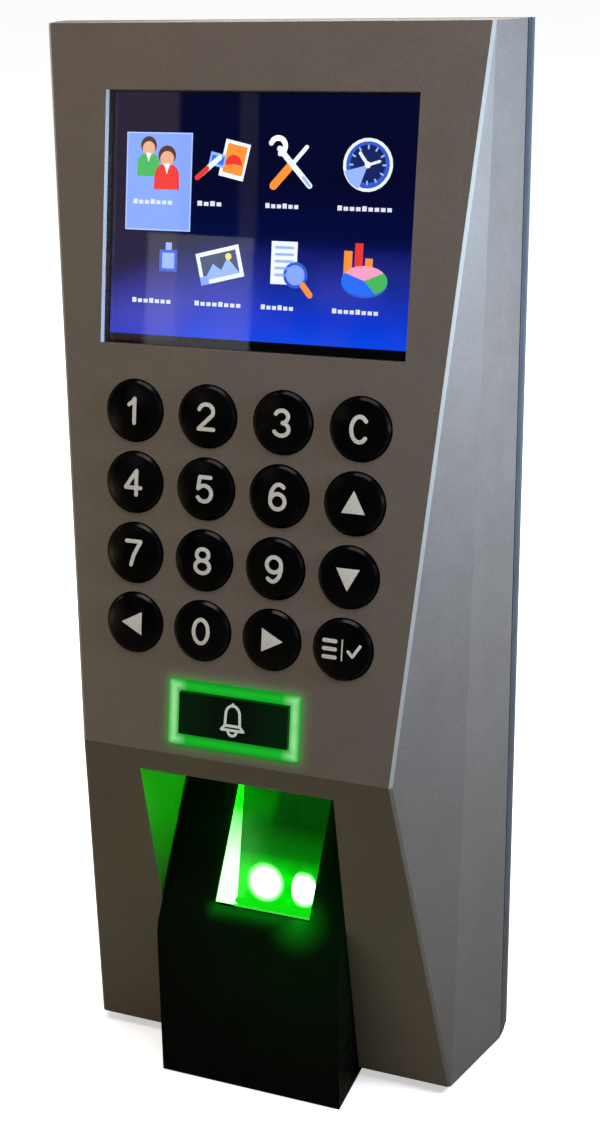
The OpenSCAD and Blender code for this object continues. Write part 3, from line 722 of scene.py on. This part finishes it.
def menu_clock(inks):
    d = Drawing(0.836, 0.265)
    d.disc(0, 0, 0.98, "white").disc(0, 0, 0.86, "blue_mid").disc(0, 0.04, 0.7, "navy")
    for angle in range(0, 360, 30):
        a = math.radians(angle)
        d.line([(0.6 * math.cos(a), 0.6 * math.sin(a)), (0.7 * math.cos(a), 0.7 * math.sin(a))], 0.07, "pale")
        d.level -= LAYER
    d.line([(0, 0), (-0.32, 0.42)], 0.12, "white").line([(0, 0), (0.46, 0.14)], 0.1, "white")
    d.wedge(0, 0, 0.94, "pale", 195, 250).disc(0, 0, 0.12, "white").done("menu_clock", inks)


def menu_drive(inks):
    d = Drawing(0.204, 0.67)
    d.bar(-0.42, -0.32, 0.34, 0.52, "blue_mid").bar(-0.3, -0.2, 0.22, 0.4, "pale")
    d.bar(-0.16, 0.52, 0.1, 0.8, "pale").done("menu_drive", inks)


def menu_picture(inks):
    d = Drawing(0.377, 0.667).tilt(14)
    d.bar(-0.95, -0.62, 0.9, 0.62, "white").bar(-0.8, -0.46, 0.74, 0.46, "slate")
    d.shape([(-0.8, -0.46), (-0.3, 0.1), (0.0, -0.2), (0.35, 0.22), (0.74, -0.46)], "pale")
    d.disc(0.4, 0.25, 0.13, "yellow").bar(-0.95, -0.62, -0.6, -0.3, "cell").done("menu_picture", inks)


def menu_page(inks):
    d = Drawing(0.600, 0.667)
    d.bar(-0.72, -0.62, 0.35, 1.0, "white")
    for k in range(5):
        d.bar(-0.56, 0.72 - 0.26 * k, 0.2, 0.82 - 0.26 * k, "pale")
        d.level -= LAYER
    d.disc(0.3, -0.25, 0.5, "blue_mid").disc(0.3, -0.25, 0.38, "cell")
    d.line([(0.62, -0.62), (0.92, -0.98)], 0.24, "orange").done("menu_page", inks)


def menu_chart(inks):
    d = Drawing(0.835, 0.667)
    d.bar(-0.75, -0.2, -0.42, 0.75, "orange").bar(-0.32, -0.2, 0.0, 1.05, "red")
    d.bar(0.1, -0.2, 0.4, 0.5, "orange")
    d.disc(0.1, -0.42, 0.92, "blue_mid", ry=0.56).disc(0.1, -0.34, 0.92, "blue", ry=0.56)
    d.wedge(0.1, -0.34, 0.92, "pink", 35, 150, 0.56).wedge(0.1, -0.34, 0.92, "green", -60, 35, 0.56)
    d.done("menu_chart", inks)


# each label's left and right ends across the opening, and its height down it
LABELS = {"people": (0.077, 0.214, 0.43), "notes": (0.294, 0.379, 0.43), "tools": (0.518, 0.629, 0.43),
          "clock": (0.748, 0.922, 0.43), "drive": (0.081, 0.218, 0.823), "picture": (0.295, 0.454, 0.823),
          "page": (0.516, 0.626, 0.823), "chart": (0.746, 0.896, 0.823)}
LABEL_PITCH = 1.05


def menu_labels(inks):
    """Rows of blocks where words would be."""
    for name, (u0, u1, v) in LABELS.items():
        d = Drawing((u0 + u1) / 2, v, MM)
        half = (u1 - u0) / 2 * OPENING_W / MM
        if name == "people":
            d.level = OVER_CELL
        count = max(3, round(half * 2 / LABEL_PITCH))
        pitch = half * 2 / count
        for k in range(count):
            tall = 0.42 if k in (0, count // 2) else 0.26
            x = -half + pitch * k
            d.bar(x, -0.34, x + pitch * 0.72, tall, "label")
            d.level -= LAYER
        d.done(f"menu_label_{name}", inks)


def build_menu(inks):
    for draw in (menu_cell, menu_people, menu_notes, menu_tools, menu_clock,
                 menu_drive, menu_picture, menu_page, menu_chart, menu_labels):
        draw(inks)


# ---------- the reader's lit well, seen through its glass ----------

# the well narrows from the glass by the inset, and its back falls from the head step to its full depth
WELL_INSET = 0.35 * MM
WELL_HALF_W = GLASS.width / 2 - WELL_INSET
WELL_HALF_L = GLASS.height / 2 - WELL_INSET
WELL_TOP = GLASS.low[2] - GLASS.high[2] - 0.15 * MM
WELL_DEEP = 9.4 * MM
WELL_HEAD = 0.5 * MM

# the lit wall and brow stand in the gap round the glass, up to the lip
WALL_LIP = -0.3 * MM
FIT_GAP = 0.07 * MM

SPOT_RISE = 0.35 * MM
SPOT_LIFT = 0.05 * MM
SPOT_RINGS = 6
SPOT_SIDES = 28
EDGE_T = 0.04 * MM


def well_back_light():
    """Green, nearly dark at the head and bright by the lamps at the foot."""
    s = Shader("well_light")
    s.set(Roughness=0.35, Base_Color=(0.0, 0.02, 0.004, 1), Emission_Strength=1.5)
    fall = s.remap(s.axis(GLASS.up, GLASS.point(0, 0)), WELL_HALF_L, -WELL_HALF_L, 0.0, 1.0)
    ramp = s.ramp(fall, [(0.0, (0.0, 0.035, 0.001)), (0.3, (0.0, 0.018, 0.0)), (0.55, (0.0, 0.12, 0.002)),
                         (0.74, (0.002, 0.70, 0.006)), (1.0, (0.0, 0.55, 0.004))])
    cloud = s.remap(s.noise(500, 3), 0.35, 0.7, 0.0, 0.35)
    s.feed("Emission Color", s.mix(cloud, ramp, (0.0, 0.06, 0.004)))
    return s.material


def well_wall_light():
    """White-hot at the foot, green towards the head."""
    s = Shader("well_wall")
    s.set(Roughness=0.4, Base_Color=(0.1, 0.5, 0.1, 1), Emission_Strength=2.6)
    rise = s.remap(s.axis(GLASS.up, GLASS.point(0, 0)), -WELL_HALF_L * 0.25, WELL_HALF_L * 0.55, 0.0, 1.0)
    s.feed("Emission Color", s.mix(rise, (0.95, 1.0, 0.95), (0.01, 0.30, 0.01)))
    return s.material


def reader_well():
    """A sloping back with a right wall, foot and head, the hot left wall, and a brow at the glass's top."""
    materials = [well_back_light(), well_wall_light(), glow("well_edge", (0.12, 0.85, 0.16), 0.9)]
    left, right = -GLASS.width / 2 - FIT_GAP, WELL_HALF_W
    head, foot = WELL_HALF_L, -WELL_HALF_L
    top, low = WELL_TOP, WELL_TOP - WELL_DEEP
    step = WELL_TOP - WELL_HEAD
    brow = GLASS.height / 2 + FIT_GAP
    bm = bmesh.new()

    def corners(*places):
        return [bm.verts.new(GLASS.point(*place)) for place in places]

    def side(verts, material=0):
        bm.faces.new(verts).material_index = material

    head_l, head_r, step_l, step_r = corners((left, head, top), (right, head, top),
                                             (left, head, step), (right, head, step))
    foot_l, foot_r, low_l, low_r = corners((left, foot, top), (right, foot, top),
                                           (left, foot, low), (right, foot, low))
    side((step_l, step_r, low_r, low_l))
    side(corners((left, head, WALL_LIP), (left, head, step), (left, foot, low), (left, foot, WALL_LIP)), 1)
    side(corners((-right, brow, WALL_LIP), (right, brow, WALL_LIP),
                 (right, brow, top), (-right, brow, top)), 2)
    side((head_r, foot_r, low_r, step_r))
    side((foot_l, low_l, low_r, foot_r))
    side((head_l, head_r, step_r, step_l), 2)
    well = new_piece("reader_well", bm, materials, "terminal")
    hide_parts("sensor_prism")


def well_back(x, y, lift):
    """A point over the well's sloping back."""
    share = (WELL_HALF_L - y) / (2 * WELL_HALF_L)
    return GLASS.point(x, y, WELL_TOP - WELL_HEAD - (WELL_DEEP - WELL_HEAD) * share + lift)


def spot_light(name, centre, radius):
    """White-hot in the middle, green at the rim."""
    s = Shader(name)
    s.set(Roughness=0.4, Base_Color=(0.1, 0.5, 0.1, 1))
    reach = s.remap(s.distance_to(centre), radius * 0.72, radius * 1.02, 0.0, 1.0)
    s.feed("Emission Color", s.mix(reach, WHITE, (0.01, 0.35, 0.01)))
    s.feed("Emission Strength", s.remap(reach, 0.0, 1.0, 3.0, 0.6))
    return s.material


def reader_spot(name, x, y, rx, ry):
    """A domed lit spot on the well's back."""
    bm = bmesh.new()
    middle = bm.verts.new(well_back(x, y, SPOT_RISE))
    last = None
    for r in range(1, SPOT_RINGS + 1):
        share = r / SPOT_RINGS
        lift = SPOT_RISE * (1 - share ** 2) + SPOT_LIFT
        ring = []
        for k in range(SPOT_SIDES):
            a = math.tau * k / SPOT_SIDES
            place = well_back(x + rx * share * math.cos(a), y + ry * share * math.sin(a), lift)
            ring.append(bm.verts.new(place))
        for k in range(SPOT_SIDES):
            j = (k + 1) % SPOT_SIDES
            inner = (middle,) if last is None else (last[k],)
            outer = () if last is None else (last[j],)
            bm.faces.new(inner + (ring[k], ring[j]) + outer)
        last = ring
    material = spot_light(f"{name}_light", well_back(x, y, 0), max(rx, ry))
    new_piece(name, bm, material, "terminal", smooth=True)


def reader_edge_light():
    """Thin lit lines under the glass's right edge and foot, and a broad band above the foot."""
    edge = glow("glass_edge", (0.10, 0.80, 0.12), 0.75)
    bm = bmesh.new()
    w, l = WELL_HALF_W, WELL_HALF_L
    band_y = -l + 0.95 * MM

    def place(x, y, level):
        return GLASS.point(x, y, WELL_TOP + 0.05 * MM + level)

    stroke(bm, [(w, l), (w, -l)], 0.16 * MM, place, EDGE_T)
    stroke(bm, [(-w + 2.6 * MM, -l), (w, -l)], 0.4 * MM, place, EDGE_T)
    stroke(bm, [(-w + 3.1 * MM, band_y), (w, band_y)], 1.1 * MM, place, EDGE_T, material=1)
    foot = glow("glass_foot", (0.01, 0.62, 0.01), 1.0)
    new_piece("reader_edge_light", bm, [edge, foot], "terminal")


def build_reader():
    reader_well()
    reader_spot("reader_spot_near", -3.6 * MM, -6.2 * MM, 3.8 * MM, 3.7 * MM)
    reader_spot("reader_spot_far", 3.9 * MM, -6.3 * MM, 2.4 * MM, 3.5 * MM)
    reader_edge_light()


# ---------- finishes for the CAD nodes ----------

def bell_gloss():
    """Glossy black with a little of the ring's green glow painted on it as emission."""
    s = Shader("bell_gloss")
    s.set(Roughness=0.14, Specular_IOR_Level=0.2, Base_Color=(0.001, 0.002, 0.0015, 1), Emission_Strength=1.0)
    off_middle = s.math("ABSOLUTE", s.axis(RING.across, RING.point(0, 0)))
    reach = s.remap(off_middle, RING.width * 0.1, RING.width * 0.45, 0.0, 1.0)
    s.feed("Emission Color", s.mix(reach, (0.0, 0.0035, 0.0015), (0.0, 0.012, 0.002)))
    s.bump(s.noise(700, 2), 0.03, 0.0001)
    return s.material


def reader_black():
    """Satin black moulding with the reader's green falling on it near the glass."""
    s = Shader("reader_black")
    s.set(Roughness=0.34, Specular_IOR_Level=0.05, Emission_Strength=1.0)
    cloud = s.remap(s.noise(180, 4), 0.3, 0.7, 0.0, 1.0)
    s.feed("Base Color", s.mix(cloud, (0.0008, 0.0016, 0.0012), (0.0022, 0.0036, 0.003)))
    s.feed("Roughness", s.remap(s.noise(420, 3), 0.3, 0.7, 0.28, 0.46))

    # a pool of light below the glass's right corner, a rim along its foot and a wide faint fall
    near = s.distance_to(GLASS.point(GLASS.width * 0.40, -GLASS.height * 0.52))
    pool = s.math("POWER", s.remap(near, 0.0, 7 * MM, 1.0, 0.0), 2.0)
    off_glass = s.outside(GLASS, GLASS.width / 2, GLASS.height / 2, (0.2 * MM, -1.0 * MM))
    rim = s.math("POWER", s.remap(off_glass, 0.0, 3 * MM, 1.0, 0.0), 2.5)
    along = s.axis(GLASS.up, GLASS.point(0, 0))
    below = s.remap(along, -GLASS.height * 0.47, -GLASS.height * 0.51, 0.08, 1.0)
    rim = s.math("MULTIPLY", s.math("MULTIPLY", rim, below), 0.42)
    wide = s.math("MULTIPLY", s.remap(near, 4 * MM, 30 * MM, 1.0, 0.0), 0.02)
    light = s.math("ADD", s.math("MAXIMUM", pool, rim), wide)
    s.feed("Emission Color", s.mix(light, BLACK, (0.0, 0.22, 0.004)))
    s.bump(s.noise(2600, 2), 0.18, 0.00008)
    return s.material


def slot_materials():
    return {
        "casing_paint": casing_paint,
        "cover_plastic": lambda: textured_plastic("cover_plastic", (0.045, 0.052, 0.068), 0.45),
        "plate_coat": powder_coat,
        "rubber": lambda: textured_plastic("rubber", (0.018, 0.018, 0.018), 0.78, 1800),
        "window": lambda: thin_glass("window", (0.93, 0.95, 0.98), 0.01),
        "bright_steel": lambda: brushed_metal("bright_steel", (0.62, 0.62, 0.65)),
        "screen": lcd_material,
        "white_plastic": lambda: textured_plastic("white_plastic", (0.72, 0.72, 0.70), 0.45),
        "ribbon": flex_ribbon,
        "silicone": lambda: textured_plastic("silicone", (0.10, 0.105, 0.115), 0.62, 1500),
        "circuit_board": circuit_board,
        "chip": lambda: textured_plastic("chip", (0.02, 0.02, 0.022), 0.55),
        "capacitor": lambda: gloss_plastic("capacitor", (0.01, 0.015, 0.07), 0.25),
        "relay": lambda: gloss_plastic("relay", (0.01, 0.06, 0.28), 0.3),
        "coin_cell": lambda: brushed_metal("coin_cell", (0.7, 0.7, 0.72), 0.25),
        "speaker_black": lambda: textured_plastic("speaker_black", (0.02, 0.02, 0.02), 0.4),
        "switch_black": lambda: textured_plastic("switch_black", (0.02, 0.02, 0.022), 0.45),
        "lamp": lambda: glow("lamp", (0.35, 1.0, 0.4), 1.5),
        "light_guide": ring_material,
        "key_gloss": lambda: gloss_plastic("key_gloss", (0.0012, 0.0013, 0.0017)),
        "reader_black": reader_black,
        "reader_glass": lambda: thin_glass("reader_glass", (0.62, 1.0, 0.62), 0.02, 0.08),
        "lens_black": lambda: textured_plastic("lens_black", (0.02, 0.02, 0.02), 0.35),
        "screw_steel": lambda: brushed_metal("screw_steel", (0.5, 0.5, 0.53), 0.32),
    }


def dress_nodes():
    """Gives each CAD node its slot's finish in place of the plain material that it came with."""
    makers = slot_materials()
    slots = {name: node.material_slots[0].material.name.split(".")[0] for name, node in NODES.items()}
    for material in list(bpy.data.materials):
        bpy.data.materials.remove(material)
    made = {slot: makers[slot]() for slot in sorted(set(slots.values()))}
    for name, node in NODES.items():
        node.material_slots[0].material = made[slots[name]]
    NODES["bell_button"].material_slots[0].material = bell_gloss()


# ---------- stage ----------

# the camera's place, the way it looks, and its right
CAMERA_AT = (0.1015, -0.2591, 0.1004)
CAMERA_AHEAD = (-0.344, 0.872, -0.350)
CAMERA_RIGHT = (0.933, 0.360, -0.020)
AMBIENT = 0.024
FLOOR_GAP = 0.2 * MM
CARD_AWAY = 0.45
FLOOR_HALF = 20.0


def area_light(name, place, aim, size, energy, colour, size_y=None):
    """A square lamp that looks at a point, or an oblong one where size_y is given."""
    data = bpy.data.lights.new(name, "AREA")
    data.energy = energy
    data.color = colour
    data.size = size
    if size_y:
        data.shape = "RECTANGLE"
        data.size_y = size_y
    made = bpy.data.objects.new(name, data)
    bpy.context.scene.collection.objects.link(made)
    made.location = place
    made.rotation_mode = "QUATERNION"
    made.rotation_quaternion = (Vector(aim) - Vector(place)).to_track_quat("-Z", "Y")
    return made


def floor_material():
    """Pale to the camera from above, open from below, and dark to light so that little comes up from it."""
    s = Shader("stage_floor")
    s.set(Roughness=0.9, Base_Color=(0.9, 0.9, 0.9, 1), Specular_IOR_Level=0.0, Emission_Color=(*WHITE, 1))
    away = s.distance_to((0, 0, CAD_BOX[0].z))
    s.feed("Emission Strength", s.remap(away, 0.04, 0.30, 0.42, 0.95))
    bounce = s.add("ShaderNodeBsdfDiffuse")
    bounce.inputs["Color"].default_value = (0.22, 0.19, 0.13, 1)
    is_seen = s.add("ShaderNodeLightPath").outputs["Is Camera Ray"]
    above = s.blend(is_seen, bounce.outputs[0], s.bsdf.outputs[0])
    from_below = s.add("ShaderNodeNewGeometry").outputs["Backfacing"]
    clear = s.add("ShaderNodeBsdfTransparent")
    s.link(s.blend(from_below, above, clear.outputs[0]), s.output.inputs["Surface"])
    return s.material


def build_floor():
    bm = bmesh.new()
    bmesh.ops.create_grid(bm, x_segments=2, y_segments=2, size=FLOOR_HALF)
    mesh = bpy.data.meshes.new("stage_floor")
    bm.to_mesh(mesh)
    bm.free()
    mesh.materials.append(floor_material())
    floor = bpy.data.objects.new("stage_floor", mesh)
    floor.location = (0, 0, CAD_BOX[0].z - FLOOR_GAP)
    bpy.context.scene.collection.objects.link(floor)


def build_world():
    """White to the camera, and a faint warm fill to everything else."""
    world = bpy.data.worlds.new("studio")
    bpy.context.scene.world = world
    world.use_nodes = True
    tree = world.node_tree
    tree.nodes.clear()
    out = tree.nodes.new("ShaderNodeOutputWorld")
    mix = tree.nodes.new("ShaderNodeMixShader")
    seen = tree.nodes.new("ShaderNodeBackground")
    seen.inputs["Color"].default_value = (*WHITE, 1)
    light = tree.nodes.new("ShaderNodeBackground")
    light.inputs["Color"].default_value = (1.0, 0.93, 0.86, 1)
    light.inputs["Strength"].default_value = AMBIENT
    path = tree.nodes.new("ShaderNodeLightPath")
    tree.links.new(path.outputs["Is Camera Ray"], mix.inputs[0])
    tree.links.new(light.outputs[0], mix.inputs[1])
    tree.links.new(seen.outputs[0], mix.inputs[2])
    tree.links.new(mix.outputs[0], out.inputs["Surface"])


def room_card(name, u, v, width, height, radiance, colour):
    """A dim card that the screen's window mirrors to the viewer, like the edge of a room."""
    eye = Vector(CAMERA_AT)
    spot = SCREEN.point(u * SCREEN.width, v * SCREEN.height)
    ray = (spot - eye).normalized()
    ray = ray - 2 * ray.dot(FACE_NORMAL) * FACE_NORMAL
    size = 1 + CARD_AWAY / (spot - eye).length
    wide, tall = width * SCREEN.width * size, height * SCREEN.height * size
    energy = radiance * math.pi * wide * tall / 4
    made = area_light(name, spot + ray * CARD_AWAY, spot, wide, energy, colour, tall)
    flat = (SCREEN.across - ray * SCREEN.across.dot(ray)).normalized()
    made.rotation_quaternion = Matrix((flat, ray.cross(flat), ray)).transposed().to_quaternion()


def build_lights():
    area_light("key_right", (0.163, -0.015, 0.075), (0.04, -0.012, 0.03), 0.06, 0.32, (0.60, 0.78, 1.0))
    area_light("rim_right", (0.150, -0.036, 0.045), (-0.02, -0.022, 0.035), 0.02, 0.16, (0.70, 0.84, 1.0))
    area_light("soft_front", (-0.02, -0.16, 0.36), (0.0, -0.02, 0.02), 0.20, 0.59, (1.0, 0.86, 0.76))
    area_light("low_front", (-0.60, -0.52, -0.05), (0.0, -0.03, -0.06), 0.3, 0.73, (1.0, 0.90, 0.56), 0.07)
    area_light("back_fill", (-0.10, 0.55, 0.45), (0.0, 0.0, 0.0), 0.4, 2.6, (1.0, 0.97, 0.94))
    area_light("left_fill", (-0.50, 0.06, 0.18), (-0.04, 0.0, 0.0), 0.15, 0.5, (0.9, 0.95, 1.0))
    area_light("floor_wash", (0.0, -0.2, 1.6), (0.0, 0.0, 0.0), 1.2, 14.0, WHITE)
    room_card("room_brown", -0.41, 0.05, 0.30, 1.0, 1.35, (1.0, 0.66, 0.55))
    room_card("room_grey", -0.17, -0.27, 0.30, 0.44, 2.6, (1.0, 0.96, 0.98))
    room_card("room_post", -0.03, 0.20, 0.05, 0.6, 0.5, (1.0, 0.88, 0.8))
    left = GLASS.point(-GLASS.width * 0.1, GLASS.height * 0.25, 2.2 * MM)
    area_light("reader_left", left, left + Vector((-1, 0.0, 0.1)), 6 * MM, 0.0068, (0.0, 1.0, 0.0))


def build_camera():
    data = bpy.data.cameras.new("camera")
    data.sensor_fit = "AUTO"
    data.sensor_width = 36.0
    data.lens = 51.65
    data.clip_start = 0.01
    data.clip_end = 50
    made = bpy.data.objects.new("camera", data)
    bpy.context.scene.collection.objects.link(made)
    ahead = Vector(CAMERA_AHEAD).normalized()
    right = Vector(CAMERA_RIGHT)
    right = (right - ahead * right.dot(ahead)).normalized()
    turn = Matrix((right, right.cross(ahead), -ahead)).transposed().to_4x4()
    made.matrix_world = Matrix.Translation(Vector(CAMERA_AT)) @ turn
    bpy.context.scene.camera = made


SCREEN_INKS = {
    "white": (0.85, 0.88, 0.95), "label": (0.75, 0.76, 0.85), "pale": (0.30, 0.45, 0.95),
    "cell": (0.23, 0.37, 0.98), "cell_edge": (0.45, 0.6, 1.0), "blue": (0.02, 0.15, 0.95),
    "blue_mid": (0.03, 0.10, 0.55), "navy": (0.004, 0.012, 0.10), "orange": (0.95, 0.28, 0.03),
    "red": (0.80, 0.035, 0.025), "green": (0.06, 0.45, 0.10), "pink": (0.9, 0.35, 0.5),
    "skin": (0.80, 0.42, 0.26), "hair": (0.08, 0.025, 0.01), "yellow": (0.95, 0.75, 0.15),
    "slate": (0.05, 0.07, 0.15)}


def main():
    dress_nodes()
    white = ink("legend_ink", (0.80, 0.80, 0.78))
    for key in KEYS:
        key_legend(key, white)
    # the bell's printed icon is made to glow a pale green: painted light from the ring
    bell_icon(glow("bell_ink", (0.34, 0.42, 0.36), 0.8))
    build_menu({name: glow(f"screen_{name}", colour, 1.0) for name, colour in SCREEN_INKS.items()})
    build_reader()
    build_floor()
    build_world()
    build_lights()
    build_camera()
    bpy.context.scene.view_settings.view_transform = "Standard"
    bpy.context.scene.view_settings.look = "None"


main()
